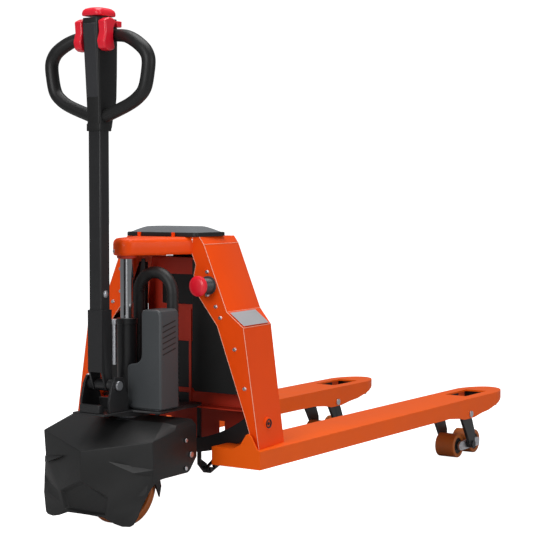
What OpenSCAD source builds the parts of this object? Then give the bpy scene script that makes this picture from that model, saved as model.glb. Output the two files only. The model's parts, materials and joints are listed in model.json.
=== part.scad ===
// Walk-behind electric pallet truck, forks raised, tiller upright.
// Millimetres, +Z up. Every module is drawn with Y = 0 at the heel of the forks and +Y towards
// their tips; in_truck() then moves it to the part's origin, on the floor under the middle.

/* [Forks] */
// Width over both forks
fork_spread = 685; // [540:5:700]
// Width of one fork
fork_w = 160; // [150:2:180]
// Depth of the fork section
fork_t = 50; // [46:1:56]
// Height of the raised fork tops above the floor
fork_top = 205; // [195:1:215]
// Distance from the heel to the fork tips
fork_len = 1590; // [1500:10:1650]
// Thickness of the fork plates
plate_t = 5; // [4:0.5:6]

/* [Load rollers] */
// Diameter of a load roller
roller_d = 80; // [74:1:82]
// Length of a load roller
roller_w = 70; // [60:1:74]
// Distance between the two rollers of a pair
roller_gap = 124; // [110:1:126]
// Distance from a leg's pivot to its axle
leg_len = 130; // [120:1:135]
// Distance from the heel to the leg's pivot
leg_y = 1264; // [1200:1:1280]

/* [Drive unit] */
// Diameter of the drive wheel
drive_d = 210; // [200:1:230]
// Width of the drive wheel
drive_w = 70; // [60:1:75]
// Distance from the heel forward to the steering axis
steer_y = 139; // [130:1:150]
// Distance from the heel forward to the nose of the bumper cover
cover_front = 336; // [330:1:345]
// Half of the bumper cover's width
cover_x = 190; // [180:1:192]

/* [Tiller] */
// Width over the handle loop
loop_w = 388; // [340:2:400]
// Diameter of the handle loop's grip
grip_d = 40; // [34:1:42]
// Height of the top of the control head
head_top = 1356; // [1300:1:1370]
// Height of the tiller's tilt pivot
tilt_z = 388; // [380:1:395]

/* [Hidden] */
$fn = 64;
hull_fn = 24;
fit = 0.05;                                   // running clearance of a pin in its bore
gap = 0.5;                                    // clearance between pieces that slide past
steel_red = [0.93, 0.27, 0.03];
fork_orange = [0.98, 0.42, 0.1];
black = [0.13, 0.13, 0.13];
graphite = [0.27, 0.28, 0.29];
zinc = [0.75, 0.76, 0.78];
amber = [0.85, 0.4, 0.1];
signal_red = [0.85, 0.05, 0.08];
deep_red = [0.5, 0.08, 0.02];

fork_x = (fork_spread - fork_w) / 2;          // middle of a fork
fork_bottom = fork_top - fork_t;
leg_z = fork_bottom - 2;                      // height of the leg pivot
leg_axle_drop = leg_z - roller_d / 2;
leg_reach = sqrt(leg_len * leg_len - leg_axle_drop * leg_axle_drop);
leg_angle = asin(leg_axle_drop / leg_len);    // how far a leg points below level
axle_y = leg_y + leg_reach;
folded_y = leg_y + 129.8;                     // where the axle lies when the leg is folded
torsion_y = 245;
torsion_z = 178;
trunnion_y = 107.5;                           // the carrier's two pins
trunnion_z = 118;
arm_angle = atan((torsion_z - trunnion_z) / (torsion_y - trunnion_y));
arm_len = (torsion_y - trunnion_y) / cos(arm_angle);
lug_len = 32;
steer = [0, -steer_y, 0];
wheel_y = -160;
nose_z = 727;
hood_z = 777;
lid_y = 155;                                  // hinge line of the battery lid
lid_z = hood_z + 7;
face_y = 20;                                  // front plane of the columns
tilt_y = -240;
tiller_y = -253;

// Moves the workshop frame to the part's origin: on the floor, under the middle of the object
module in_truck() translate([0, (cover_front - fork_len) / 2, 0]) children();
// Draws its children on both sides of the truck
module both_sides() { children(); mirror([1, 0, 0]) children(); }
// A cylinder along X, centred on x
module rod_x(x, y, z, r, l) translate([x, y, z]) rotate([0, 90, 0]) cylinder(r = r, h = l, center = true);
// A cylinder along Y that starts at y
module rod_y(x, y, z, r, l) translate([x, y, z]) rotate([-90, 0, 0]) cylinder(r = r, h = l);
// A profile drawn in Y and Z, given a thickness along X that starts at x
module side_plate(x, t) translate([x, 0, 0]) rotate([90, 0, 90]) linear_extrude(t) children();
// A profile drawn in X and Z, given a thickness along Y that starts at y
module front_plate(y, t) translate([0, y + t, 0]) rotate([90, 0, 0]) linear_extrude(t) children();
// A box from its low corner to its high corner
module block(low, high) translate(low) cube(high - low);
// The smooth shell round a few corner points
module round_points(points) hull() for (p = points) translate(p) cube(0.01, center = true);
// A point on a cubic curve
function bezier(a, b, c, d, t) = a * pow(1 - t, 3) + 3 * b * t * pow(1 - t, 2) + 3 * c * t * t * (1 - t)
    + d * pow(t, 3);

// ---------------------------------------------------------------- forks and chassis
toe = [for (i = [0 : 10]) bezier([fork_w / 2, fork_len - 118], [fork_w / 2, fork_len - 72],
    [fork_w * 0.28, fork_len], [0, fork_len], i / 10)];
module fork_plan() polygon(concat([[-fork_w / 2, 0], [fork_w / 2, 0]], toe,
    [for (i = [9 : -1 : 0]) [-toe[i].x, toe[i].y]]));
module fork_profile() polygon([[0, fork_bottom], [1110, fork_bottom - 1], [1182, fork_bottom - 9],
    [1226, fork_bottom - 17], [1295, fork_bottom - 17], [1353, fork_bottom - 9], [1407, fork_bottom - 5],
    [1461, fork_bottom + 6], [1508, fork_bottom + 18], [fork_len, fork_top - 16], [fork_len, fork_top],
    [0, fork_top]]);
module fork() difference() {
    union() {
        difference() {
            intersection() {
                translate([fork_x, 0, 0]) linear_extrude(fork_top) fork_plan();
                side_plate(fork_x - fork_w, 2 * fork_w) fork_profile();
            }
            translate([fork_x, 0, -1]) linear_extrude(fork_top - plate_t) offset(delta = -plate_t) fork_plan();
        }
        // upstand of the heel plate, welded to the column
        front_plate(0, plate_t) polygon([[fork_x - 10, fork_top - 1], [fork_x + 16, fork_top + 14],
            [fork_x + 34, fork_top + 42], [fork_x + 41, fork_top + 45], [fork_x + 50, fork_top + 38],
            [fork_x + 68, fork_top + 6], [fork_x + 80, fork_top - 1]]);
    }
    translate([fork_x - 39.5, folded_y - 84, fork_top - 10]) cube([79, 164, 20]);
    rod_x(fork_x, leg_y, leg_z, 8.02, fork_w + 10);
    rod_x(fork_x - fork_w / 2, torsion_y, torsion_z, 17 + fit, 20);
}
module fork_right() in_truck() color(fork_orange) fork();
module fork_left() in_truck() color(fork_orange) mirror([1, 0, 0]) fork();
module leg_pins() in_truck() color(zinc) both_sides() {
    rod_x(fork_x, leg_y, leg_z, 8, fork_w + 2);
    rod_x(fork_x + fork_w / 2 + 3, leg_y, leg_z, 11, 6);
    rod_x(fork_x - fork_w / 2 - 3, leg_y, leg_z, 11, 6);
}

// Outer line of a column in X and Z, from the hood down to the fork
column_line = [[127, hood_z], [142, 757], [219, 574], [274, 533], [325, fork_top]];
// How far back each of those points reaches
column_back = [212, 212, 210, 182, 172];
column_lean = 18;                             // how much narrower the columns are at the back
// One folded side panel of a column, between points i and i + 1 of its line
module column_panel(i) {
    t = plate_t;
    corners = [for (k = [i, i + 1]) each [
        [column_line[k].x, face_y, column_line[k].y], [column_line[k].x - t, face_y, column_line[k].y],
        [column_line[k].x - column_lean, column_back[k], column_line[k].y],
        [column_line[k].x - column_lean - t, column_back[k], column_line[k].y]]];
    polyhedron(corners, [[0, 1, 3], [0, 3, 2], [4, 7, 5], [4, 6, 7], [0, 5, 1], [0, 4, 5], [2, 3, 7],
        [2, 7, 6], [0, 2, 6], [0, 6, 4], [1, 5, 7], [1, 7, 3]]);
}
module column() {
    for (i = [0 : 3]) column_panel(i);
    front_plate(face_y, plate_t) polygon([[127, hood_z], [142, 757], [219, 574], [274, 533], [325, fork_top],
        [302, fork_top], [293, 252], [281, 287], [187, 535], [125, 612], [108, 672], [115, 700],
        [102, 730], [104, hood_z]]);
    block([300, face_y, fork_top], [305, 120, fork_top + 40]);
}
module column_right() in_truck() color(steel_red) column();
module column_left() in_truck() color(steel_red) mirror([1, 0, 0]) column();
column_screw_places = [[153, 682], [153, 618], [182, 587], [197, 557], [245, 473], [278, 368]];
module column_screws() in_truck() color(zinc) both_sides() for (p = column_screw_places)
    translate([p.x, face_y, p.y]) rotate([90, 0, 0]) cylinder(r1 = 6, r2 = 4, h = 4);

// Curved front cross member, and the beam under the battery
module cross_member() in_truck() color(black) {
    difference() {
        front_plate(73, 8) intersection() {
            difference() {
                translate([0, 164 + 576]) circle(r = 576, $fn = 180);
                translate([0, 202 + 420]) circle(r = 420, $fn = 180);
            }
            translate([-288, 150]) square([576, 140]);
        }
        block([-60, 60, 150], [60, 100, 190]);
        both_sides() block([fork_x - fork_w / 2 - gap, 60, 150], [300, 100, fork_top + gap]);
    }
    both_sides() block([255, 73, 230], [300, 150, 236]);
    block([-262, 100, 304], [262, 104, 331]);
    block([-262, 104, 304], [262, 200, 309]);
    both_sides() block([262, 100, 290], [287, 165, 309]);
}
module nose_plan(grow) {
    polygon([[-104 - grow, face_y], [104 + grow, face_y], [36.5 + grow, -steer_y - 6],
        [-36.5 - grow, -steer_y - 6]]);
    translate([0, -steer_y]) circle(r = 37 + grow);
}
module nose() in_truck() color(steel_red) difference() {
    union() {
        translate([0, 0, nose_z]) linear_extrude(hood_z - nose_z) nose_plan(0);
        translate([0, 0, hood_z - 6]) linear_extrude(6) polygon([[-121.5, face_y + 5],
            [121.5, face_y + 5], [104.5, 204], [-104.5, 204]]);
        // two straps that hook over the front of the battery lid
        for (x = [-72, 48]) block([x - 4, 2, hood_z - 1], [x + 4, 8, hood_z + 12]);
    }
    translate([0, 0, nose_z - 1]) linear_extrude(hood_z - nose_z - 5) polygon([[-90, 30], [90, 30],
        [36, -steer_y + 45], [-36, -steer_y + 45]]);
    translate(steer + [0, 0, nose_z - 1]) cylinder(r = 18.02, h = 26);
    block([-100, face_y + 30, hood_z - 10], [100, 180, hood_z + 10]);
}
module piston_rod() in_truck() color(zinc) translate(steer + [0, 0, 450]) {
    cylinder(r = 18, h = nose_z + 24 - 450);
    cylinder(r = 20.5, h = 8);
}
module battery_tray() in_truck() color(deep_red) difference() {
    union() {
        front_plate(102, 3) polygon([[-118, 331], [118, 331], [118, 600], [104, 716], [-104, 716],
            [-118, 600]]);
        block([-118, 102, 331], [118, 196, 334]);
        both_sides() block([115, 102, 331], [118, 196, 600]);
    }
    block([-66, 90, 583], [66, 110, 668]);
    block([-66, 90, 345], [66, 110, 478]);
}
module battery() in_truck() color(black) {
    block([-110, 106, 334.5], [110, 194, 716]);
    translate([-50, 130, 716]) cube([100, 40, 12]);
}
module side_panels() in_truck() color(black) both_sides() front_plate(44, 4)
    polygon([[84, 356], [92, 346], [248, 346], [184, 520], [122, 604], [104, 668], [96, 712], [84, 712]]);
module battery_lid() in_truck() color(graphite) {
    difference() {
        union() {
            translate([0, 80, hood_z + gap]) linear_extrude(12) offset(r = 14) square([224, 114], center = true);
            round_points([for (sx = [-1, 1], p = [[112, 20, 789], [112, 140, 789], [80, 42, 805],
                [80, 118, 805]]) [sx * p.x, p.y, p.z]]);
        }
        translate([0, 80, hood_z]) cube([214, 106, 12], center = true);
    }
    both_sides() rod_x(60, lid_y, lid_z, 5, 30);
}
module data_plate() in_truck() color(zinc) round_points([for (y = [45, 150], p = [[228, 568.5],
    [266, 540.2], [267, 541.5], [229, 569.8]]) [p.x - (y - face_y) * 0.1, y, p.y]]);
module charge_socket() in_truck() color(black) translate([304, 88, 268]) rotate([0, 90, 0])
    difference() {
        cylinder(r = 15, h = 12);
        translate([0, 0, 3]) cylinder(r = 10, h = 12);
    }
stop_switch = [158, face_y, 645];
module stop_switch_body() in_truck() color(graphite) translate(stop_switch) rotate([90, 0, 0])
    difference() {
        cylinder(r = 21, h = 34);
        translate([0, 0, 14]) cylinder(r = 9 + fit, h = 30);
    }
module stop_knob() in_truck() color(signal_red) translate(stop_switch) rotate([90, 0, 0]) {
    translate([0, 0, 22]) cylinder(r = 9, h = 20);
    translate([0, 0, 41]) cylinder(r1 = 27, r2 = 28.5, h = 9);
    translate([0, 0, 50]) cylinder(r1 = 28.5, r2 = 24, h = 7);
}

// ---------------------------------------------------------------- lifting linkage
module carrier_plate() in_truck() color(black) difference() {
    union() {
        translate(steer + [0, 0, 297]) cylinder(r = 56, h = 11);
        translate([0, 0, 297]) linear_extrude(11) polygon([[-50, -steer_y], [50, -steer_y], [80, 80],
            [80, 92], [-80, 92], [-80, 80]]);
        both_sides() side_plate(70, 10) polygon([[84, 300], [92, 300], [92, 146], [118, 130],
            [120, 108], [114, 104], [84, 132]]);
        both_sides() rod_x(87, trunnion_y, trunnion_z, 6, 34);
    }
    translate(steer + [0, 0, 290]) cylinder(r = 30 + fit, h = 30);
}
module steer_bearing() in_truck() color(zinc) translate(steer + [0, 0, 308]) difference() {
    cylinder(r = 50, h = 3.7);
    translate([0, 0, -1]) cylinder(r = 31, h = 6);
}
module torsion_tube() in_truck() color(black) difference() {
    rod_x(0, torsion_y, torsion_z, 17, 2 * fork_x + 50);
    rod_x(0, torsion_y, torsion_z, 11, 2 * fork_x + 60);
}
// The arms are drawn level, then turned down to the carrier's pins
module lift_arms() in_truck() color(black) both_sides() translate([0, torsion_y, torsion_z])
    rotate([arm_angle, 0, 0]) difference() {
        union() {
            rod_x(95, 0, 0, 24, 16);
            rod_x(95, -arm_len, 0, 12, 10);
            side_plate(90, 10) polygon([[0, 23], [0, -23], [-arm_len, -12], [-arm_len, 12]]);
            // lug that pushes the rod in the fork
            side_plate(fork_x - 8, 16) polygon([[-6, 0], [6, 0], [4, -lug_len], [-4, -lug_len]]);
            rod_x(fork_x, 0, -lug_len, 7, 16);
            rod_x(fork_x, 0, 0, 21, 16);
        }
        rod_x(95, -arm_len, 0, 8, 20);
        translate([80, -arm_len, -8]) cube([30, 22, 16]);
        rod_x(fork_x / 2, 0, 0, 17, fork_x + 60);
    }
rod_z = leg_z + 26;
rod_end = leg_y + 11.5;
lug_face = torsion_y + lug_len * sin(arm_angle) + 8.5;
module push_rod() {
    rod_y(fork_x, torsion_y + 55, rod_z, 9, rod_end - torsion_y - 60);
    block([fork_x - 9, lug_face, 139], [fork_x + 9, torsion_y + 64, 154]);
    block([fork_x - 9, torsion_y + 50, 139], [fork_x + 9, torsion_y + 64, rod_z + 9]);
    block([fork_x - 12, rod_end - 12, rod_z - 10], [fork_x + 12, rod_end, rod_z + 12]);
}
module push_rod_right() in_truck() color(black) push_rod();
module push_rod_left() in_truck() color(black) mirror([1, 0, 0]) push_rod();

// A leg is drawn along +Y from its pivot, then turned down to the floor
module leg() translate([fork_x, leg_y, leg_z]) rotate([-leg_angle, 0, 0]) difference() {
    union() {
        for (x = [-58, 48]) side_plate(x, 10) {
            polygon([[-14, -18], [0, -24], [100, -17], [leg_len, -19], [leg_len + 18, 0], [leg_len, 19],
                [102, 34], [56, 38], [0, 34], [-18, 30]]);
            circle(r = 22);
        }
        rod_x(0, 0, 0, 13, 96);
        rod_x(0, -6, 24, 5, 96);
        rod_x(0, leg_len, 0, 8, 116);
        for (x = [-60.5, 60.5]) rod_x(x, leg_len, 0, 12, 5);
    }
    rod_x(0, 0, 0, 8 + fit, 130);
}
module leg_right() in_truck() color(black) leg();
module leg_left() in_truck() color(black) mirror([1, 0, 0]) leg();
module bogie() translate([fork_x, axle_y, roller_d / 2]) {
    difference() {
        union() for (x = [-46, 38]) side_plate(x, 8) difference() {
            hull() for (y = [-roller_gap / 2, roller_gap / 2]) translate([y, 0]) circle(r = 15, $fn = hull_fn);
            circle(r = 8 + fit);
            for (y = [-roller_gap / 2, roller_gap / 2]) translate([y, 0]) circle(r = 8.02);
        }
    }
    for (y = [-roller_gap / 2, roller_gap / 2]) {
        rod_x(0, y, 0, 8, 94);
        both_sides() rod_x(36.6, y, 0, 11, 1.8);
    }
}
module bogie_right() in_truck() color(zinc) bogie();
module bogie_left() in_truck() color(zinc) mirror([1, 0, 0]) bogie();
module roller_place(side, row) translate([side * fork_x, axle_y + row * roller_gap / 2, roller_d / 2])
    rotate([0, 90, 0]) children();
module tyre(side, row) in_truck() color(amber) roller_place(side, row) difference() {
    cylinder(d = roller_d, h = roller_w, center = true);
    cylinder(r = 27, h = roller_w + 2, center = true);
}
module hub(side, row) in_truck() color(black) roller_place(side, row) difference() {
    union() {
        cylinder(r = 27, h = roller_w - 4, center = true);
        cylinder(r = 12, h = roller_w - 0.4, center = true);
    }
    cylinder(r = 8 + fit, h = roller_w + 2, center = true);
}

// ---------------------------------------------------------------- drive unit
module cylinder_tube() in_truck() color(black) translate(steer + [0, 0, 318]) difference() {
    union() {
        cylinder(r = 27, h = 241);
        translate([0, 0, 225]) cylinder(r = 28.5, h = 16);
        cylinder(r = 29.5, h = 12);
    }
    translate([0, 0, 7]) cylinder(r = 21, h = 204);
    translate([0, 0, 200]) cylinder(r = 18 + fit, h = 50);
}
module mast_plate() in_truck() color(black) translate([0, 0, 312]) linear_extrude(6)
    polygon([[-54, -302], [54, -302], [60, -190], [146, -180], [138, -58], [-34, -58], [-60, -100],
        [-60, -190]]);
module steer_post() in_truck() color(zinc) translate(steer) {
    translate([0, 0, 274]) cylinder(r = 30, h = 38);
    translate([0, 0, 262]) cylinder(r = 52, h = 12);
}
module drive_motor() in_truck() color(graphite) {
    translate(steer + [0, 0, 214]) cylinder(r = 72, h = 48);
    block([-98, -206, 60], [-48, -112, 262]);
    rod_x(-73, wheel_y, drive_d / 2, 58, 50);
    rod_x(-35.5, wheel_y, drive_d / 2, 15, 30);
    rod_x(10, wheel_y, drive_d / 2, 12, 61);
    block([-184.8, -150, 222], [184.8, -124, 248]);
}
cover_wall = 5;
cover_points = [[cover_x - 6, -200, 292], [cover_x - 6, -84, 290], [cover_x, -268, 253],
    [cover_x, -78, 268], [cover_x, -78, 176], [cover_x, -120, 150], [cover_x - 2, -258, 140],
    [cover_x - 26, -292, 42], [cover_x - 34, -306, 40], [60, -312, 48], [cover_x - 16, -230, 22],
    [cover_x - 30, -120, 90]];
module cover_shape(in) round_points(concat([[0, -cover_front + in, 220], [0, -cover_front + in, 150]],
    [for (sx = [-1, 1], p = cover_points) [sx * (p.x - in), p.y + in, p.z - in * 0.9]]));
module drive_cover() in_truck() color(black) difference() {
    cover_shape(0);
    cover_shape(cover_wall);
    block([-cover_x + 8, -95, 0], [cover_x - 8, 0, 300]);
    block([-cover_x + 34, -290, 0], [cover_x - 34, 0, 62]);
    side_plate(-cover_x - 20, 2 * cover_x + 40) polygon([[-60, 152], [-226, 152], [-268, 112],
        [-300, 0], [-60, 0]]);
    translate(steer + [0, 0, 270]) cylinder(r = 40, h = 40);
}
module wheel_guard() in_truck() color(black) {
    side_plate(44, 5) polygon([[-60, 60], [-52, 90], [-70, 150], [-100, 190], [-160, 214], [-160, 130],
        [-90, 120]]);
    block([44, -170, 200], [60, -120, 214]);
}
// Fasteners of the drive unit: the cover's screws and the tiller's pivot bolt
module drive_bolts() in_truck() color(zinc) both_sides() {
    for (p = [[-128, 240, 5.5], [-129, 165, 5.5], [-105, 199, 8]])
        rod_x(cover_x + 2.3, p.x, p.y, p.z, 4);
    rod_x(26, tilt_y, tilt_z, 8, 52);
    rod_x(54.5, tilt_y, tilt_z, 13, 6);
}
module pump_unit() in_truck() color(zinc) {
    block([42, -168, 318], [132, -112, 424]);
    translate([116, -138, 424]) cylinder(r = 21, h = 130);
}
module pump_cover() in_truck() color(graphite) difference() {
    union() {
        front_plate(-178, 81) polygon([[31, 320], [145, 320], [145, 578], [135, 588], [88, 588],
            [79, 580], [79, 530], [88, 500], [88, 470], [78, 452], [60, 445], [36, 438], [31, 430]]);
    }
    front_plate(-173, 71) polygon([[36, 300], [140, 300], [140, 574], [132, 583], [91, 583], [84, 576],
        [84, 532], [93, 502], [93, 468], [82, 448], [62, 440], [40, 434], [36, 428]]);
}
hose_r = 17;
hose_bend = 58.5;
// Conduit that loops over from behind the pump to behind the cylinder
module hose() in_truck() color(black) translate([51.5, -79, 318]) {
    for (x = [-hose_bend, hose_bend]) translate([x, 0, 0]) cylinder(r = hose_r, h = 306);
    translate([0, 0, 306]) rotate([90, 0, 0]) rotate_extrude(angle = 180) translate([hose_bend, 0])
        circle(r = hose_r);
}
module tiller_bracket() in_truck() color(black) difference() {
    union() {
        both_sides() side_plate(44, 7) polygon([[-276, 318], [-196, 318], [-196, 350], [-218, 408],
            [-252, 412], [-264, 392], [-276, 350]]);
        block([-44, -204, 318], [44, -196, 348]);
    }
    rod_x(0, tilt_y, tilt_z, 8.02, 120);
}
module foot_block() in_truck() color(black) {
    block([-34, -298, 318], [34, -282, 340]);
    block([-34, -284, 318], [34, -278, 332]);
}
module drive_tyre() in_truck() color(amber) rod_ring(drive_d / 2, 82, drive_w);
module drive_hub() in_truck() color(graphite) difference() {
    rod_ring(82, 12 + fit, drive_w - 16);
    rod_x(-30, wheel_y, drive_d / 2, 15 + fit, 20);
}
module rod_ring(outer, inner, w) difference() {
    rod_x(0, wheel_y, drive_d / 2, outer, w);
    rod_x(0, wheel_y, drive_d / 2, inner, w + 2);
}

// ---------------------------------------------------------------- tiller and controls
module tiller_tube() in_truck() color(black)
    block([-20.5, tiller_y - 18.5, 440], [20.5, tiller_y + 18.5, 1078]);
module tiller_sleeve() in_truck() color(black) difference() {
    union() {
        block([-24, tiller_y - 21, 424], [24, tiller_y + 21, 589]);
        both_sides() side_plate(18, 6) polygon([[tilt_y - 16, tilt_z - 12], [tilt_y + 14, tilt_z - 14],
            [tiller_y + 21, 430], [tiller_y - 21, 430]]);
        rod_x(0, tilt_y, tilt_z, 16, 84);
    }
    rod_x(0, tilt_y, tilt_z, 8 + fit, 120);
    block([-20.5, tiller_y - 18.5, 440], [20.5, tiller_y + 18.5, 600]);
}
module gas_spring() in_truck() color(zinc) {
    translate([14, tiller_y + 38, 440]) cylinder(r = 9, h = 110);
    translate([14, tiller_y + 38, 548]) cylinder(r = 11, h = 14);
    block([8, tiller_y + 21, 550], [20, tiller_y + 32, 562]);
}
head_low = 1061;
module control_head() in_truck() color(black) difference() {
    union() {
        round_points([for (sx = [-1, 1], p = [[22, -274, 1078], [22, -222, 1078], [24, -276, 1130],
            [24, -204, 1120], [27, -288, head_top - 6], [27, -206, head_top - 6], [26, -284, head_top],
            [26, -210, head_top]]) [sx * p.x, p.y, p.z]]);
        block([-24.5, tiller_y - 22, head_low], [24.5, tiller_y + 26, 1082]);
    }
    block([-20.5, tiller_y - 18.5, head_low - 1], [20.5, tiller_y + 18.5, 1078]);
    rod_x(0, throttle_y, 1312, 10 + fit, 80);
    translate([0, -246, head_top - 8]) cube([36.4, 56.4, 30], center = true);
    rod_y(0, -209, 1250, 9.5, 12);
}
module head_panel() in_truck() color(black) round_points([for (sx = [-1, 1], p = [[20, -278.2, 1134],
    [20, -281, 1134], [23, -289.8, 1350], [23, -292, 1350]]) [sx * p.x, p.y, p.z]]);
loop_path = [[24, 27, 1302], [54, 27, 1306], [86, 18, 1307], [118, 9, 1296], [148, 3, 1276],
    [168, 0, 1248], [171, 0, 1222], [165, 0, 1188], [152, 0, 1157], [126, 0, 1130], [78, 0, 1106],
    [24, 2, 1084]];
// The loop's grip, swept along its path in rings of corners
module handle_loop() in_truck() color(black) both_sides() {
    n = len(loop_path);
    sides = 20;
    rings = [for (i = [0 : n - 1]) let (
        e = loop_path[min(i + 1, n - 1)] - loop_path[max(i - 1, 0)], d = i == 0 || i == n - 1 ? [1, 0, 0]
            : [e.x, 0, e.z] / norm([e.x, 0, e.z]), u = i == n - 1 ? [0, 0, 1] : [d.z, 0, -d.x])
        for (k = [0 : sides - 1]) [0, tiller_y, 0] + loop_path[i]
            + grip_d / 2 * (cos(360 * k / sides) * u + [0, sin(360 * k / sides), 0])];
    polyhedron(rings, concat([[for (k = [0 : sides - 1]) k]],
        [[for (k = [sides - 1 : -1 : 0]) (n - 1) * sides + k]],
        [for (i = [0 : n - 2], k = [0 : sides - 1]) [i * sides + (k + 1) % sides, i * sides + k,
            (i + 1) * sides + k, (i + 1) * sides + (k + 1) % sides]]));
}
throttle_y = -263;
module throttle() in_truck() color(signal_red) {
    rod_x(0, throttle_y, 1312, 10, 60);
    both_sides() side_plate(28, 25) {
        translate([throttle_y, 1312]) circle(r = 13);
        polygon([[throttle_y - 14, 1348], [throttle_y + 13, 1348], [throttle_y + 9, 1312],
            [throttle_y + 13, 1276], [throttle_y + 4, 1266], [throttle_y - 8, 1266],
            [throttle_y - 14, 1276], [throttle_y - 9, 1312]]);
    }
}
module belly_button() in_truck() color(signal_red) {
    translate([0, -246, head_top]) cube([36, 56, 24], center = true);
    translate([0, -247, head_top + 6]) linear_extrude(8) offset(r = 10) square([56, 68], center = true);
    round_points([for (sx = [-1, 1], p = [[36, -288, head_top + 13], [36, -206, head_top + 13],
        [24, -272, head_top + 27], [24, -222, head_top + 27]]) [sx * p.x, p.y, p.z]]);
}
module side_button() block([28, -226, 1334], [42, -206, 1350]);
module lift_button() in_truck() color(signal_red) side_button();
module lower_button() in_truck() color(signal_red) mirror([1, 0, 0]) side_button();
module horn_button() in_truck() color(signal_red) translate([0, -204, 1250]) rotate([-90, 0, 0])
    cylinder(r = 9, h = 6);

fork_left();
fork_right();
column_left();
column_right();
cross_member();
nose();
battery_tray();
battery();
side_panels();
piston_rod();
data_plate();
charge_socket();
stop_switch_body();
column_screws();
leg_pins();
battery_lid();
stop_knob();
carrier_plate();
steer_bearing();
torsion_tube();
lift_arms();
push_rod_left();
push_rod_right();
leg_left();
leg_right();
bogie_left();
bogie_right();
tyre(-1, -1);  // tyre_1
tyre(-1, 1);  // tyre_2
tyre(1, -1);  // tyre_3
tyre(1, 1);  // tyre_4
hub(-1, -1);  // hub_1
hub(-1, 1);  // hub_2
hub(1, -1);  // hub_3
hub(1, 1);  // hub_4
cylinder_tube();  // cylinder
mast_plate();
steer_post();
drive_motor();
drive_cover();
wheel_guard();
drive_bolts();
pump_unit();
pump_cover();
hose();
tiller_bracket();
foot_block();
drive_tyre();
drive_hub();
tiller_tube();
tiller_sleeve();
gas_spring();
control_head();
head_panel();
handle_loop();
throttle();
belly_button();
lift_button();
lower_button();
horn_button();
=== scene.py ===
# %% [markdown]
# # A walk-behind electric pallet truck
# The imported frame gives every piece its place. Here each piece gets its finish, and the pieces
# that plain solids can't show (moulded covers, the soft-edged nose, grips, sheet steel with
# folded edges) are modelled in more detail and ride on the same bodies.
# %% Load the frame
import bpy, bmesh, math, json
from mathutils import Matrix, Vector


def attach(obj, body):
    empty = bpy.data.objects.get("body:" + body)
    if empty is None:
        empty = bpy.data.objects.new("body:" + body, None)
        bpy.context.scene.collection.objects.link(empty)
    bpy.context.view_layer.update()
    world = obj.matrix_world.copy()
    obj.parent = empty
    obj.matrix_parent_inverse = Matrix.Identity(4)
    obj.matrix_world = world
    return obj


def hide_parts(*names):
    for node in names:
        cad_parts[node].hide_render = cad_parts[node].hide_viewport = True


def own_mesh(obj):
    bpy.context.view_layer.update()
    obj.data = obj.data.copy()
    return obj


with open("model.json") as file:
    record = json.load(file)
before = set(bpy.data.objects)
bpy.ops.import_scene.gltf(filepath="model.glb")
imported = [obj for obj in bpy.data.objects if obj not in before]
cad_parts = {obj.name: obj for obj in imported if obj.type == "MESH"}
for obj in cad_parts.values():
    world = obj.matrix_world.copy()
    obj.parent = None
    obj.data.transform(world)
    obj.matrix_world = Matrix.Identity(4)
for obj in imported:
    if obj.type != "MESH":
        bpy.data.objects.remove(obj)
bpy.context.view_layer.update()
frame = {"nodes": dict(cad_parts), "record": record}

# %% [markdown]
# ## Helpers
# Sizes are typed in millimetres from the heel of the forks, and `at` turns them into metres
# from the part's origin, 627 mm further back.
# %% Places and meshes
BACK = -0.627


def at(x, y, z):
    return Vector((x / 1000, y / 1000 + BACK, z / 1000))


def piece(name, points, faces, body, node=None, smooth=35):
    mesh = bpy.data.meshes.new(name)
    mesh.from_pydata([at(*p) for p in points], [], faces)
    obj = bpy.data.objects.new(name, mesh)
    bpy.context.collection.objects.link(obj)
    return settle(obj, body, node, smooth)


def settle(obj, body, node=None, smooth=35):
    bm = bmesh.new()
    bm.from_mesh(obj.data)
    bmesh.ops.recalc_face_normals(bm, faces=bm.faces)
    bm.to_mesh(obj.data)
    bm.free()
    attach(obj, body)
    if node:
        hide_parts(*([node] if isinstance(node, str) else node))
    pick(obj)
    bpy.ops.object.shade_smooth_by_angle(angle=math.radians(smooth))
    return obj


def pick(obj):
    bpy.ops.object.select_all(action="DESELECT")
    obj.select_set(True)
    bpy.context.view_layer.objects.active = obj


def bevel(obj, width, segments=3, angle=35):
    pick(obj)
    m = obj.modifiers.new("soft edges", "BEVEL")
    m.width, m.segments, m.limit_method, m.angle_limit = width / 1000, segments, "ANGLE", math.radians(angle)
    bpy.ops.object.modifier_apply(modifier=m.name)
    bpy.ops.object.shade_smooth_by_angle(angle=math.radians(40))


def thicken(obj, mm):
    pick(obj)
    m = obj.modifiers.new("wall", "SOLIDIFY")
    m.thickness, m.offset = mm / 1000, -1
    bpy.ops.object.modifier_apply(modifier=m.name)


def smooth_out(obj, levels):
    pick(obj)
    m = obj.modifiers.new("rounded", "SUBSURF")
    m.levels = levels
    bpy.ops.object.modifier_apply(modifier=m.name)
    bpy.ops.object.shade_smooth()


def bool_cut(obj, cutter):
    pick(obj)
    m = obj.modifiers.new("opening", "BOOLEAN")
    m.object, m.operation, m.solver = cutter, "DIFFERENCE", "EXACT"
    bpy.ops.object.modifier_apply(modifier=m.name)
    bpy.data.objects.remove(cutter)


def lathe(profile, sides=48):
    # profile: (radius, height) pairs, turned about Z
    points, faces, n = [], [], len(profile)
    for i in range(sides):
        a = 2 * math.pi * i / sides
        points += [(r * math.cos(a), r * math.sin(a), h) for r, h in profile]
    for i in range(sides):
        j = (i + 1) % sides
        faces += [(i * n + k, j * n + k, j * n + k + 1, i * n + k + 1) for k in range(n - 1)]
    return points, faces


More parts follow.
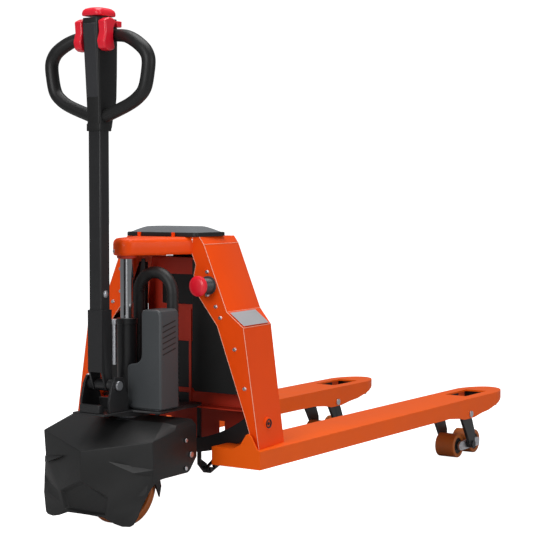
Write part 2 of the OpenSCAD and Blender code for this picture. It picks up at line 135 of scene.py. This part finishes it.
def turned(profile, axis, centre, sides=48):
    points, faces = lathe(profile, sides)
    turn = {"z": lambda p: p, "x": lambda p: (p[2], p[0], p[1]), "-y": lambda p: (p[0], -p[2], p[1])}[axis]
    return [tuple(a + b for a, b in zip(turn(p), centre)) for p in points], faces


def tube(path, radius, sides=24, closed=True, squeeze=None):
    # rings of corners along a path; radius is a number, or one number for each point
    n = len(path)
    path = [Vector(p) for p in path]
    radii = radius if isinstance(radius, list) else [radius] * n
    points, faces, side = [], [], None
    for i in range(n):
        d = (path[min(i + 1, n - 1)] - path[max(i - 1, 0)]).normalized()
        if side is None:
            side = d.orthogonal().normalized()
        side = (side - d * side.dot(d)).normalized()
        up = d.cross(side)
        for k in range(sides):
            a = 2 * math.pi * k / sides
            points.append(tuple(path[i] + radii[i] * (math.cos(a) * side + math.sin(a) * up)))
    for i in range(n - 1):
        for k in range(sides):
            j = (k + 1) % sides
            faces.append((i * sides + k, i * sides + j, (i + 1) * sides + j, (i + 1) * sides + k))
    if closed:
        faces.append(tuple(range(sides))[::-1])
        faces.append(tuple((n - 1) * sides + k for k in range(sides)))
    return points, faces


def spline(points, steps):
    # a smooth curve through the points
    out, p = [], [Vector(points[0])] + [Vector(q) for q in points] + [Vector(points[-1])]
    for i in range(1, len(p) - 2):
        for s in range(steps):
            t = s / steps
            out.append(0.5 * ((2 * p[i]) + (p[i + 1] - p[i - 1]) * t
                + (2 * p[i - 1] - 5 * p[i] + 4 * p[i + 1] - p[i + 2]) * t * t
                + (3 * p[i] - p[i - 1] - 3 * p[i + 1] + p[i + 2]) * t ** 3))
    return out + [Vector(points[-1])]


def join(name, parts):
    # one object from (points, faces) pairs
    points, faces = [], []
    for p, f in parts:
        faces += [tuple(i + len(points) for i in face) for face in f]
        points += list(p)
    return name, points, faces


def slab(low, high):
    x0, y0, z0 = low
    x1, y1, z1 = high
    return ([(x0, y0, z0), (x1, y0, z0), (x1, y1, z0), (x0, y1, z0), (x0, y0, z1), (x1, y0, z1), (x1, y1, z1),
             (x0, y1, z1)], [(0, 3, 2, 1), (4, 5, 6, 7), (0, 1, 5, 4), (1, 2, 6, 5), (2, 3, 7, 6), (3, 0, 4, 7)])


def prism(outline, a, b, along):
    # an outline drawn across the axis `along`, from a to b
    put = {"x": lambda u, v, w: (w, u, v), "y": lambda u, v, w: (u, w, v), "z": lambda u, v, w: (u, v, w)}[along]
    n = len(outline)
    points = [put(u, v, a) for u, v in outline] + [put(u, v, b) for u, v in outline]
    faces = [tuple(range(n))[::-1], tuple(range(n, 2 * n))]
    return points, faces + [(i, (i + 1) % n, n + (i + 1) % n, n + i) for i in range(n)]


print("helpers ready")

# %% [markdown]
# ## Finishes
# Each finish is made of nodes: a base colour that drifts a little, worn spots where a wear colour
# is given, fine scratches or grain in the bump, and an uneven roughness.
# %% Materials


def finish(name, color, rough, metal=0.0, grain=0.0, grain_size=300, drift=0.06, coat=0.0, brushed=None,
           wear=None, spec=0.5):
    m = bpy.data.materials.new(name)
    m.use_nodes = True
    nt = m.node_tree
    n, l = nt.nodes, nt.links
    b = n["Principled BSDF"]
    b.inputs["Metallic"].default_value = metal
    b.inputs["Coat Weight"].default_value = coat
    b.inputs["Coat Roughness"].default_value = 0.08
    b.inputs["Specular IOR Level"].default_value = spec
    co = n.new("ShaderNodeTexCoord")
    big = n.new("ShaderNodeTexNoise")
    big.inputs["Scale"].default_value = 6
    big.inputs["Detail"].default_value = 4
    l.new(co.outputs["Object"], big.inputs["Vector"])
    mix = n.new("ShaderNodeMix")
    mix.data_type = "RGBA"
    dark = [c * (1 - 2.2 * drift) for c in color]
    mix.inputs["A"].default_value = (*dark, 1)
    mix.inputs["B"].default_value = (*[min(1, c * (1 + drift)) for c in color], 1)
    l.new(big.outputs["Fac"], mix.inputs["Factor"])
    source = mix.outputs["Result"]
    if wear:
        spots = n.new("ShaderNodeTexNoise")
        spots.inputs["Scale"].default_value = 55
        spots.inputs["Detail"].default_value = 8
        l.new(co.outputs["Object"], spots.inputs["Vector"])
        edge = n.new("ShaderNodeMapRange")
        edge.inputs["From Min"].default_value = 0.66
        edge.inputs["From Max"].default_value = 0.74
        edge.inputs["To Max"].default_value = 0.5
        l.new(spots.outputs["Fac"], edge.inputs["Value"])
        worn = n.new("ShaderNodeMix")
        worn.data_type = "RGBA"
        worn.inputs["B"].default_value = (*wear, 1)
        l.new(edge.outputs["Result"], worn.inputs["Factor"])
        l.new(source, worn.inputs["A"])
        source = worn.outputs["Result"]
    l.new(source, b.inputs["Base Color"])
    r = n.new("ShaderNodeMapRange")
    r.inputs["To Min"].default_value = rough * 0.82
    r.inputs["To Max"].default_value = min(1, rough * 1.2)
    l.new(big.outputs["Fac"], r.inputs["Value"])
    l.new(r.outputs["Result"], b.inputs["Roughness"])
    fine = n.new("ShaderNodeTexNoise")
    fine.inputs["Scale"].default_value = grain_size
    fine.inputs["Detail"].default_value = 3
    if brushed:
        stretch = n.new("ShaderNodeMapping")
        stretch.inputs["Scale"].default_value = brushed
        l.new(co.outputs["Object"], stretch.inputs["Vector"])
        l.new(stretch.outputs["Vector"], fine.inputs["Vector"])
    else:
        l.new(co.outputs["Object"], fine.inputs["Vector"])
    bump = n.new("ShaderNodeBump")
    bump.inputs["Strength"].default_value = grain
    bump.inputs["Distance"].default_value = 0.0006
    l.new(fine.outputs["Fac"], bump.inputs["Height"])
    l.new(bump.outputs["Normal"], b.inputs["Normal"])
    return m


MATS = {
    "fork_paint": finish("fork_paint", (1.0, 0.12, 0.002), 0.45, grain=0.06, grain_size=160, spec=0.2),
    "frame_paint": finish("frame_paint", (1.0, 0.08, 0.0), 0.42, grain=0.06, grain_size=160, coat=0.06, spec=0.2),
    "tray_paint": finish("tray_paint", (0.5, 0.022, 0.002), 0.5, grain=0.1, grain_size=200),
    "black_paint": finish("black_paint", (0.012, 0.012, 0.013), 0.4, grain=0.12, grain_size=240),
    "bare_steel": finish("zinc_plate", (0.62, 0.63, 0.66), 0.32, metal=1, grain=0.15, brushed=(1, 8, 1)),
    "rod_chrome": finish("hard_chrome", (0.86, 0.87, 0.89), 0.06, metal=1, grain=0.03, drift=0.02),
    "black_plastic": finish("black_plastic", (0.014, 0.014, 0.014), 0.42, grain=0.3, grain_size=420, spec=0.3),
    "grey_plastic": finish("grey_plastic", (0.055, 0.06, 0.064), 0.4, grain=0.3, grain_size=420),
    # clear_plastic: the gloss from the coat is real; the base grey, lifted well above the black flange, is painted
    # reflection on the lid top.
    "clear_plastic": finish("lid_grey_painted_reflection", (0.16, 0.17, 0.18), 0.12, grain=0.04, coat=0.6),
    "red_plastic": finish("red_plastic", (0.86, 0.008, 0.028), 0.34, grain=0.08, coat=0.2),
    "wheel_rubber": finish("cast_polyurethane", (0.5, 0.13, 0.018), 0.45, grain=0.2, wear=(0.2, 0.06, 0.02)),
    "motor_metal": finish("painted_casting", (0.022, 0.022, 0.025), 0.5, grain=0.5, grain_size=240),
    "hose_rubber": finish("ribbed_rubber", (0.008, 0.008, 0.008), 0.5, grain=0.2),
    "plate_metal": finish("plain_plate", (0.72, 0.73, 0.75), 0.35, metal=0.6, grain=0.1, brushed=(1, 12, 1)),
}


def paint(obj, name):
    obj.data.materials.clear()
    obj.data.materials.append(MATS[name])


for s in frame["record"]["subparts"]:
    paint(frame["nodes"][s["node"]], s["material_slot"])
print("finishes", len(MATS))

# %% [markdown]
# ## Sheet steel and machined pieces
# The CAD solids have knife-sharp corners. Each is copied, its flat faces are merged, and its
# corners get the small radius that bent sheet and cast parts have, so that they catch the light.
# %% Softened solids
BODY = {n: b for b, nodes in frame["record"]["behaviour"]["bodies"].items() for n in nodes}
SLOT = {s["node"]: s["material_slot"] for s in frame["record"]["subparts"]}


def soften(node, width, segments=2, slot=None, angle=35):
    obj = bpy.data.objects.new("soft_" + node, frame["nodes"][node].data.copy())
    bpy.context.collection.objects.link(obj)
    bm = bmesh.new()
    bm.from_mesh(obj.data)
    bmesh.ops.remove_doubles(bm, verts=bm.verts, dist=1e-5)
    bmesh.ops.dissolve_limit(bm, angle_limit=math.radians(1), verts=bm.verts, edges=bm.edges)
    bm.to_mesh(obj.data)
    bm.free()
    settle(obj, BODY[node], node)
    bevel(obj, width, segments, angle)
    paint(obj, slot or SLOT[node])
    return obj


for node, width in (("fork_left", 1.8), ("fork_right", 1.8), ("cross_member", 1.2), ("battery_tray", 1), ("battery", 4), ("side_panels", 1.2),
                    ("cylinder", 1), ("mast_plate", 1), ("drive_motor", 3), ("pump_unit", 2),
                    ("tiller_bracket", 1), ("foot_block", 1.5), ("tiller_tube", 3), ("tiller_sleeve", 2),
                    ("gas_spring", 0.8), ("leg_left", 1.2), ("leg_right", 1.2), ("bogie_left", 1),
                    ("bogie_right", 1), ("carrier_plate", 1), ("lift_arms", 1.5), ("drive_hub", 2),
                    ("wheel_guard", 1), ("drive_bolts", 1), ("leg_pins", 1),
                    ("lift_button", 2), ("lower_button", 2)):
    soften(node, width)
for k in "1234":
    soften("tyre_" + k, 3, 3)
    soften("hub_" + k, 1.5)
soften("drive_tyre", 6, 4)
print("softened")

# %% [markdown]
# ## Drive unit cover
# One moulded shell with a flat top, a sloping lip that comes to a point, a ridge down the
# front, a shallow recess low down and an arch over the wheel. It is drawn as one half, mirrored.
# %% Bumper cover
half = {
    "t1": (0, -210, 292), "t2": (152, -176, 291), "t3": (184, -160, 284), "t4": (176, -80, 291), "t5": (0, -80, 291),
    "v0": (0, -336, 222), "v1": (188, -268, 254), "s0": (190, -174, 270), "s1": (190, -80, 276),
    "s2": (190, -78, 190), "s3": (190, -108, 157), "s4": (190, -118, 152), "s5": (189, -226, 151),
    "c0": (189, -250, 148), "c1": (188, -262, 190), "c2": (185, -270, 132), "c3": (170, -290, 88),
    "c4": (161, -296, 60), "c5": (152, -303, 40), "c6": (142, -306, 34), "r1": (0, -334, 146), "a": (82, -321, 108),
    "d": (96, -314, 38), "d2": (70, -318, 58), "d3": (62, -316, 50), "b": (0, -312, 52), "h": (120, -311, 33),
}
quads = [("t1", "t2", "t3", "t4", "t5"), ("t1", "v0", "v1", "t2"), ("t2", "v1", "s0", "t3"), ("t3", "s0", "s1", "t4"),
         ("v1", "c1", "c0", "s5", "s4", "s3", "s2", "s1", "s0"), ("v0", "r1", "a", "c1", "v1"), ("c1", "c2", "c0"),
         ("a", "d2", "c3", "c2", "c1"), ("d2", "d", "c5", "c4", "c3"), ("d", "h", "c6", "c5"), ("b", "d3", "d", "d2")]
names = list(half)
points = [half[n] for n in names] + [(-half[n][0], *half[n][1:]) for n in names]
faces = [tuple(names.index(n) for n in q) for q in quads]
faces += [tuple(i + len(names) for i in f)[::-1] for f in faces]
inner = {"r1": (0, -322, 134), "a": (70, -312, 100), "d2": (62, -309, 62), "b": (0, -304, 60)}
extra = ["r1", "a", "d2", "b"]
base = len(points)
points += [inner[n] for n in extra] + [(-inner[n][0], *inner[n][1:]) for n in extra]
for side, sign in ((0, 1), (1, -1)):
    o, i = side * len(names), base + side * 4
    rim = [o + names.index(n) for n in extra]
    put = [(rim[0], rim[1], i + 1, i), (rim[1], rim[2], i + 2, i + 1), (rim[2], rim[3], i + 3, i + 2),
           (i, i + 1, i + 2, i + 3)]
    faces += [f[::sign] for f in put]
name, p, f = "bumper_cover", points, faces
cover = piece(name, p, f, "drive_unit", "drive_cover")
bm = bmesh.new()
bm.from_mesh(cover.data)
bmesh.ops.remove_doubles(bm, verts=bm.verts, dist=1e-5)
bmesh.ops.recalc_face_normals(bm, faces=bm.faces)
bm.to_mesh(cover.data)
bm.free()
thicken(cover, 4)
bevel(cover, 4, 3, 24)
paint(cover, "black_plastic")
for side in (1, -1):
    blade = [(side * 78, -315, 200), (side * 190, -262, 181), (side * 186, -268, 166), (side * 150, -298, 174),
             (side * 110, -309, 188), (side * 150, -270, 172)]
    fin = piece("cover_blade", blade, [(0, 1, 3, 4), (1, 2, 3), (0, 4, 5), (4, 3, 5), (3, 2, 5), (2, 1, 5), (1, 0, 5)],
                "drive_unit")
    paint(fin, "black_plastic")
print("bumper cover", len(cover.data.polygons))

# %% [markdown]
# ## Nose and hood
# The nose is a rounded casting that tapers to the piston rod. Its outline is swept through a
# few heights, drawn in at the top and bottom for a full radius.
# %% Nose


def nose_ring(grow, z, steps=14):
    ring = [(104 + grow, 20, z)]
    for i in range(steps + 1):
        a = math.radians(-12 - 156 * i / steps)
        ring.append(((37 + grow) * math.cos(a), -139 + (37 + grow) * math.sin(a), z))
    return ring + [(-104 - grow, 20, z)]


levels = [(-30, 729), (-8, 729), (-3, 730), (-0.6, 733), (0, 738), (0, 760), (-1, 766), (-4, 771.5),
          (-9, 775.5), (-16, 777), (-36, 777)]
rings = [nose_ring(g, z) for g, z in levels]
n = len(rings[0])
points = [p for r in rings for p in r]
faces = [(i * n + k, i * n + k + 1, (i + 1) * n + k + 1, (i + 1) * n + k) for i in range(len(rings) - 1)
         for k in range(n - 1)]
faces += [tuple(range(n))[::-1], tuple((len(rings) - 1) * n + k for k in range(n))]
hood = [(-121, 20), (121, 20), (104.5, 204), (-104.5, 204)]
name, p, f = join("nose_casting", [(points, faces), prism(hood, 771, 777, "z"), slab((-76, 2, 774), (-68, 8, 789)),
                                   slab((44, 2, 774), (52, 8, 789))])
nose = piece(name, p, f, "chassis", "nose")
paint(nose, "frame_paint")
p, f = turned([(18.3, 0), (24, 0), (27, 3), (27, 9), (18.3, 9)], "z", (0, -139, 729.5 - 9))
collar = piece("rod_collar", p, f, "chassis")
paint(collar, "tray_paint")
p, f = turned([(0, 3), (4, 3), (5, 2), (5.5, 0), (0, 0)], "-y", (-17, -170, 741), 20)
screw = piece("nose_screw", p, f, "chassis")
paint(screw, "bare_steel")

# %% [markdown]
# ## Battery lid
# A moulding: a black flange, and a glossy dome that rises in from it with rounded corners; its lighter grey is painted
# reflection.
# %% Lid


def rounded(w, d, r, z, cx=0, cy=80, steps=6):
    ring = []
    for sx, sy, start in ((1, -1, -90), (1, 1, 0), (-1, 1, 90), (-1, -1, 180)):
        for i in range(steps + 1):
            a = math.radians(start + 90 * i / steps)
            ring.append((cx + sx * (w / 2 - r) + r * math.cos(a), cy + sy * (d / 2 - r) + r * math.sin(a), z))
    return ring


def stack(rings):
    n = len(rings[0])
    points = [p for r in rings for p in r]
    faces = [(i * n + k, i * n + (k + 1) % n, (i + 1) * n + (k + 1) % n, (i + 1) * n + k)
             for i in range(len(rings) - 1) for k in range(n)]
    return points, faces + [tuple(range(n))[::-1], tuple((len(rings) - 1) * n + k for k in range(n))]


low = [rounded(w, d, r, z) for w, d, r, z in ((250, 142, 13, 777.6), (252, 142, 14, 779), (252, 142, 14, 786),
                                               (250, 140, 13, 788), (246, 136, 11, 789), (240, 130, 10, 789))]
top = [rounded(w, d, r, z) for w, d, r, z in ((239, 129, 12, 788.5), (226, 118, 16, 792), (206, 104, 18, 797),
                                               (184, 90, 20, 801.5), (166, 80, 20, 804), (154, 72, 18, 804.8))]
p, f = stack(low)
flange = piece("lid_flange", p, f, "lid", "battery_lid")
paint(flange, "black_plastic")
p, f = stack(top)
# The dome's lighter grey is painted reflection of the bright room on its top.
dome = piece("lid_dome", p, f, "lid")
paint(dome, "clear_plastic")
print("nose and lid")

# %% [markdown]
# ## Pump housing
# A grey moulding: a broad foot, a shoulder that sweeps in, and a tall housing with rounded
# top corners. Slanting louvres are pressed into its side.
# %% Pump housing
outline = [(31, 321), (145, 321), (145, 574), (142, 583), (134, 588), (92, 588), (84, 585), (80, 577), (80, 470),
           (78, 458), (72, 449), (62, 443), (42, 440), (34, 436), (31, 428)]
name, p, f = join("pump_housing", [prism(outline, -178, -97, "y")])
pump = piece(name, p, f, "drive_unit", "pump_cover")
bevel(pump, 5, 4, 60)
bevel(pump, 1, 2, 50)
paint(pump, "grey_plastic")
slots = []
for i in range(6):
    z = 556 - i * 15
    slots.append(([(145.3, -168, z - 14), (145.3, -112, z), (145.3, -112, z + 3.2), (145.3, -168, z - 10.8),
                   (143, -168, z - 14), (143, -112, z), (143, -112, z + 3.2), (143, -168, z - 10.8)],
                  [(0, 1, 2, 3), (4, 7, 6, 5), (0, 4, 5, 1), (1, 5, 6, 2), (2, 6, 7, 3), (3, 7, 4, 0)]))
name, p, f = join("pump_louvres", slots)
louvres = piece(name, p, f, "drive_unit")
paint(louvres, "black_plastic")

# %% [markdown]
# ## Conduit
# A ribbed conduit arches over from behind the pump housing. Its radius rises and falls along
# its length for the ribs.
# %% Conduit
mid, bend, foot = 51.5, 58.5, 320
path, radii = [], []
for i in range(48):
    path.append((mid + bend, -79, foot + (624 - foot) * i / 48))
for i in range(49):
    a = math.pi * i / 48
    path.append((mid + bend * math.cos(a), -79, 624 + bend * math.sin(a)))
for i in range(48):
    path.append((mid - bend, -79, 624 - (624 - foot) * (i + 1) / 48))
radii = [16.8 if i % 2 else 15.2 for i in range(len(path))]
p, f = tube(path, radii, 20)
conduit = piece("conduit", p, f, "drive_unit", "hose", smooth=50)
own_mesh(conduit)
paint(conduit, "hose_rubber")
print("conduit", round(sum((Vector(a) - Vector(b)).length for a, b in zip(path, path[1:]))), "mm")

# %% [markdown]
# ## Tiller head
# A slim moulded stem with a seam round it, a raised front panel, a looped grip, a butterfly
# throttle and a broad red safety button on top.
# %% Tiller head


def stem_ring(half_w, front, back, z, r=6):
    return rounded(2 * half_w, back - front, r, z, 0, (front + back) / 2, 4)


p, f = stack([stem_ring(*v) for v in ((22, -274, -225, 1066), (22.5, -275, -222, 1070), (23, -275, -216, 1100),
                                      (23.6, -276, -207, 1125), (24, -277, -204, 1150), (25, -280, -203, 1210),
                                      (26.4, -285, -203, 1300), (27, -287.5, -204, 1348), (26, -286.5, -205, 1356))])
head = piece("head_moulding", p, f, "tiller", ["control_head", "head_panel"])
paint(head, "black_plastic")
p, f = stack([stem_ring(24, -275, -228, 1061, 4), stem_ring(24.4, -275.4, -227.6, 1063, 4),
              stem_ring(24.4, -275.4, -227.6, 1079, 4), stem_ring(23.6, -274.8, -228, 1081, 4)])
sleeve = piece("head_collar", p, f, "tiller")
paint(sleeve, "black_plastic")
front_panel = [(-19, -280.2), (19, -280.2), (19, -275), (-19, -275)]
p, f = [(-19, -278, 1150), (19, -278, 1150), (21, -289.5, 1340), (-21, -289.5, 1340), (-19, -274, 1148),
        (19, -274, 1148), (21, -285, 1344), (-21, -285, 1344)], [(0, 1, 2, 3), (4, 7, 6, 5), (0, 4, 5, 1),
                                                               (1, 5, 6, 2), (2, 6, 7, 3), (3, 7, 4, 0)]
panel = piece("front_panel", p, f, "tiller")
bevel(panel, 1.5, 2)
paint(panel, "motor_metal")
screws = [turned([(0, 2.5), (3.5, 2.5), (4.5, 1.5), (4.5, 0), (0, 0)], "-y", (x, -275.5, 1172), 20)
          for x in (-15, 15)]
name, p, f = join("head_screws", screws)
hs = piece(name, p, f, "tiller")
paint(hs, "bare_steel")

route = [(20, -230, 1312), (52, -232, 1311), (86, -240, 1306), (116, -246, 1294), (142, -250, 1278),
         (158, -250, 1262), (166, -250, 1241), (163.5, -250, 1210), (154.5, -250, 1172), (137, -250, 1150),
         (100, -250, 1128), (20, -250, 1099)]
grip = [16, 16.5, 17, 18, 18.3, 18.3, 18.3, 18, 18, 17.5, 17, 17]
steps = 6
fine = spline(route, steps)
thick = [grip[min(i // steps, 11)] + (grip[min(i // steps + 1, 11)] - grip[min(i // steps, 11)]) * (i % steps) / steps
         for i in range(len(fine))]
p, f = tube(fine, thick, 28)
pm = [(-x, y, z) for x, y, z in p]
name, p, f = join("grip_loop", [(p, f), (pm, [q[::-1] for q in f])])
loop = piece(name, p, f, "tiller", "handle_loop", smooth=50)
paint(loop, "black_plastic")

cap = stack([rounded(w, d, r, z, 0, -250, 5) for w, d, r, z in ((54, 66, 9, 1361.2), (61, 74, 11, 1362),
             (64, 77, 13, 1364.5), (64, 77, 13, 1370), (61, 74, 14, 1376), (53, 65, 15, 1380.5), (41, 52, 14, 1382.9))])
safety = piece("safety_cap", *cap, "safety_button", "belly_button")
paint(safety, "red_plastic")
wings = []
for s in (1, -1):
    body = [(-288, 1347), (-268, 1356), (-254, 1354), (-240, 1347), (-247, 1338), (-252, 1328), (-253, 1300),
            (-247, 1280), (-250, 1273), (-262, 1269), (-276, 1270), (-288, 1276), (-293, 1294), (-285, 1318)]
    wings.append(prism(body, s * 28, s * 53, "x"))
wings.append(turned([(0, -30), (9.8, -30), (9.8, 30), (0, 30)], "x", (0, -263, 1312)))
name, p, f = join("butterfly_wings", wings)
fly = piece(name, p, f, "butterfly", "throttle")
bevel(fly, 4, 3, 30)
paint(fly, "red_plastic")
bolts = [turned([(0, 5), (5, 5), (7, 4), (7, 2), (10, 1.5), (10, 0), (0, 0)], "x", (s * 20.5, -253, 631), 24)
         for s in (1,)]
name, p, f = join("tube_bolts", bolts)
tb = piece(name, p, f, "tiller")
paint(tb, "bare_steel")
print("tiller head")

# %% [markdown]
# ## Stop switch
# A ribbed collar and a mushroom knob turned from one profile.
# %% Stop switch
p, f = turned([(0, 41), (23, 41), (27.5, 43), (28.5, 47), (28, 51), (24, 55), (16, 57), (0, 57.6)], "-y",
              (158, 20, 645), 64)
knob = piece("stop_mushroom", p, f, "stop_button", "stop_knob")
paint(knob, "red_plastic")
ribs = [(20.8 - 1.2 * (i % 2), 4 + i * 2.2) for i in range(14)]
p, f = turned([(25.8, 0), (25.8, 3), (21, 3.5), *ribs, (20, 36), (12, 37), (12, 41)], "-y", (158, 20, 645), 48)
barrel = piece("stop_collar", p, f, "chassis", "stop_switch_body")
paint(barrel, "grey_plastic")
print("stop switch")

# %% [markdown]
# ## Columns
# Each column is one folded sheet: a flat front with a waisted inner edge, and a side that steps
# in four facets and narrows towards the back.
# %% Columns
line = [(127, 777), (142, 757), (219, 574), (274, 533), (325, 205)]
depth = [212, 212, 210, 182, 172]
inner_edge = [(104, 777), (102, 740), (102, 730), (115, 700), (108, 672), (125, 612), (187, 535), (281, 287),
              (293, 252), (302, 205)]
for side, tag in ((1, "right"), (-1, "left")):
    skin = [(side * x, 20, z) for x, z in line] + [(side * (x - 18), d, z) for (x, z), d in zip(line, depth)]
    wall = [(x - side * 5, y, z) for x, y, z in skin]
    faces = []
    for i in range(4):
        faces += [(i, i + 1, i + 6, i + 5), (i + 10, i + 15, i + 16, i + 11), (i + 5, i + 6, i + 16, i + 15),
                  (i, i + 10, i + 11, i + 1)]
    faces += [(0, 5, 15, 10), (4, 14, 19, 9)]
    outline = [(side * x, z) for x, z in line + inner_edge[::-1]]
    name, p, f = join("column_sheet_" + tag, [(skin + wall, faces), prism(outline, 20.2, 25, "y")])
    sheet = piece(name, p, f, "chassis", "column_" + tag)
    bevel(sheet, 1.2, 2, 10)
    paint(sheet, "frame_paint")

a, b = Vector((219, 0, 574)), Vector((274, 0, 533))
corners = []
for y in (27, 168):
    for t in (0.1, 0.93):
        q = a.lerp(b, t)
        corners.append((q.x - 18 * (y - 20) / 182 + 1.5, y, q.z + 1.5))
top = [(x + 0.6, y, z + 0.8) for x, y, z in corners]
plate = piece("blank_plate", corners + top, [(0, 2, 3, 1), (4, 5, 7, 6), (0, 1, 5, 4), (1, 3, 7, 5), (3, 2, 6, 7),
                                              (2, 0, 4, 6)], "chassis", "data_plate")
paint(plate, "plate_metal")
p, f = turned([(18, 0), (18, 5), (16, 7), (13, 7.5), (12, 6), (0, 6)], "x", (304, 88, 268))
boss = piece("socket_boss", p, f, "chassis", "charge_socket")
paint(boss, "frame_paint")
p, f = turned([(12.5, 5), (12.5, 9.5), (10.5, 9.5), (9.5, 5), (4, 5), (4, 9), (0, 9)], "x", (304, 88, 268))
core = piece("socket_core", p, f, "chassis")
paint(core, "motor_metal")
print("columns")

# %% [markdown]
# ## Inside of the frame
# Dark red plates close the bay between the columns. Black sheets along the fork channels round
# the hatches are painted shade: the channels are painted like the forks and look black only in shadow.
# %% Bay plates and painted shade in the fork channels
plates = []
for s in (1, -1):
    plates += [slab((min(s * 106, s * 181), 168, 184), (max(s * 106, s * 181), 171, 303)),
               slab((min(s * 97, s * 262), 49, 300), (max(s * 97, s * 262), 98, 303))]
plates += [slab((-86, 168, 184), (86, 171, 303)), slab((34, 98, 306), (76, 101.5, 333)),
           slab((33, 96, 306), (41, 98.5, 569)), slab((76, 95, 303), (255, 98, 338)), slab((86, 168, 247), (106, 171, 303)),
           slab((-106, 168, 247), (-86, 171, 303))]
name, p, f = join("bay_plates", plates)
bay = piece(name, p, f, "chassis")
paint(bay, "tray_paint")
back = [prism([(-119, 331), (-262, 331), (-255, 528), (-200, 572), (-148, 700), (-119, 700)], 100, 103, "y"),
        prism([(119, 331), (262, 331), (255, 528), (215, 560), (119, 560)], 100, 103, "y")]
name, p, f = join("back_plates", back)
backs = piece(name, p, f, "chassis")
paint(backs, "black_plastic")
# Black sheets on both walls and the far end of each fork channel: painted shade inside the channel.
channel_shade_sheets = []
for s in (1, -1):
    for e in (-74.6, 73.8):
        channel_shade_sheets.append(slab((s * 262.5 + e, 1296, 158), (s * 262.5 + e + 0.8, 1480, 198)))
    channel_shade_sheets.append(slab((s * 262.5 - 60, 1500, 176), (s * 262.5 + 60, 1501, 198)))
name, p, f = join("channel_painted_shade", channel_shade_sheets)
channel_shade_obj = piece(name, p, f, "chassis")
paint(channel_shade_obj, "black_plastic")
print("bay")

# %% [markdown]
# ## Painted highlights on the folds
# The folds of the columns catch the light; thin pale tubes laid along each fold paint that highlight.
# %% Painted fold highlights
# Pale orange for the lines along the folds: painted highlight on the bends of the columns.
MATS["painted_fold_highlight"] = finish("fold_highlight", (1.0, 0.5, 0.34), 0.4)
front_edge = [(127, 777), (142, 757), (219, 574), (274, 533), (325, 205)]
lines = []
for side in (1, -1):
    for edge, y in ((front_edge, 20.3), (inner_edge, 20.1)):
        path = [(side * x, y, z) for x, z in edge]
        lines.append(tube(path, 0.75, 8))
    for i in (1, 2, 3):
        lines.append(tube([(side * line[i][0], 20.5, line[i][1]),
                           (side * (line[i][0] - 18), depth[i], line[i][1])], 0.7, 8))
name, p, f = join("painted_fold_highlights", lines)
folds = piece(name, p, f, "chassis")
paint(folds, "painted_fold_highlight")
print("folds", len(lines))

# %% [markdown]
# ## Camera, floor and light
# A long lens, a little above the truck, from ahead and to its right. A pale floor lies under
# it, and large soft lights stand above it, in front of it and to its right.
# %% Camera and studio
cam_data = bpy.data.cameras.new("camera")
cam = bpy.data.objects.new("camera", cam_data)
bpy.context.collection.objects.link(cam)
cam.location = (2.58502, -3.92479, 0.8976)
cam.rotation_euler = (math.radians(90 - 2.798), 0, math.radians(33.968))
cam_data.lens, cam_data.sensor_width = 101.31, 36
bpy.context.scene.camera = cam

bpy.ops.mesh.primitive_plane_add(size=60, location=(0, 0, 0))
floor = bpy.context.object
floor.name = "floor"
fm = bpy.data.materials.new("floor")
fm.use_nodes = True
fn, fl = fm.node_tree.nodes, fm.node_tree.links
fb = fn["Principled BSDF"]
fb.inputs["Base Color"].default_value = (0.55, 0.55, 0.55, 1)
fb.inputs["Roughness"].default_value = 0.75
glow = fn.new("ShaderNodeEmission")
glow.inputs["Color"].default_value = (1, 1, 1, 1)
glow.inputs["Strength"].default_value = 1.1
both = fn.new("ShaderNodeAddShader")
seen = fn.new("ShaderNodeLightPath")
choose = fn.new("ShaderNodeMixShader")
fl.new(fb.outputs["BSDF"], both.inputs[0])
fl.new(glow.outputs["Emission"], both.inputs[1])
fl.new(seen.outputs["Is Camera Ray"], choose.inputs["Fac"])
fl.new(fb.outputs["BSDF"], choose.inputs[1])
fl.new(both.outputs["Shader"], choose.inputs[2])
fl.new(choose.outputs["Shader"], fn["Material Output"].inputs["Surface"])
floor.data.materials.append(fm)


def softbox(name, place, aim, size, power, tall=None):
    bpy.ops.object.light_add(type="AREA", location=place)
    o = bpy.context.object
    o.name = name
    o.data.shape, o.data.size, o.data.size_y = "RECTANGLE", size, tall or size
    o.data.energy = power
    o.rotation_euler = (Vector(aim) - Vector(place)).to_track_quat("-Z", "Y").to_euler()


softbox("overhead", (0.2, -0.3, 4.2), (0, 0, 0), 3.2, 135)
softbox("front", (0.2, -5.0, 2.0), (0, -0.4, 0.5), 2.0, 78)
softbox("side", (4.6, -0.6, 1.8), (0, 0, 0.4), 2.0, 42)
softbox("strip", (3.0, -4.6, 1.2), (0, -0.7, 0.6), 0.5, 4, 2.4)
world = bpy.data.worlds.new("room")
world.use_nodes = True
wn, wl = world.node_tree.nodes, world.node_tree.links
wn["Background"].inputs["Color"].default_value = (0.9, 0.92, 0.95, 1)
wn["Background"].inputs["Strength"].default_value = 0.24
white = wn.new("ShaderNodeBackground")
white.inputs["Color"].default_value = (1, 1, 1, 1)
white.inputs["Strength"].default_value = 1.05
path = wn.new("ShaderNodeLightPath")
swap = wn.new("ShaderNodeMixShader")
wl.new(path.outputs["Is Camera Ray"], swap.inputs["Fac"])
wl.new(wn["Background"].outputs["Background"], swap.inputs[1])
wl.new(white.outputs["Background"], swap.inputs[2])
wl.new(swap.outputs["Shader"], wn["World Output"].inputs["Surface"])
bpy.context.scene.world = world
bpy.context.scene.view_settings.view_transform = "Standard"
print("camera at", tuple(cam.location))
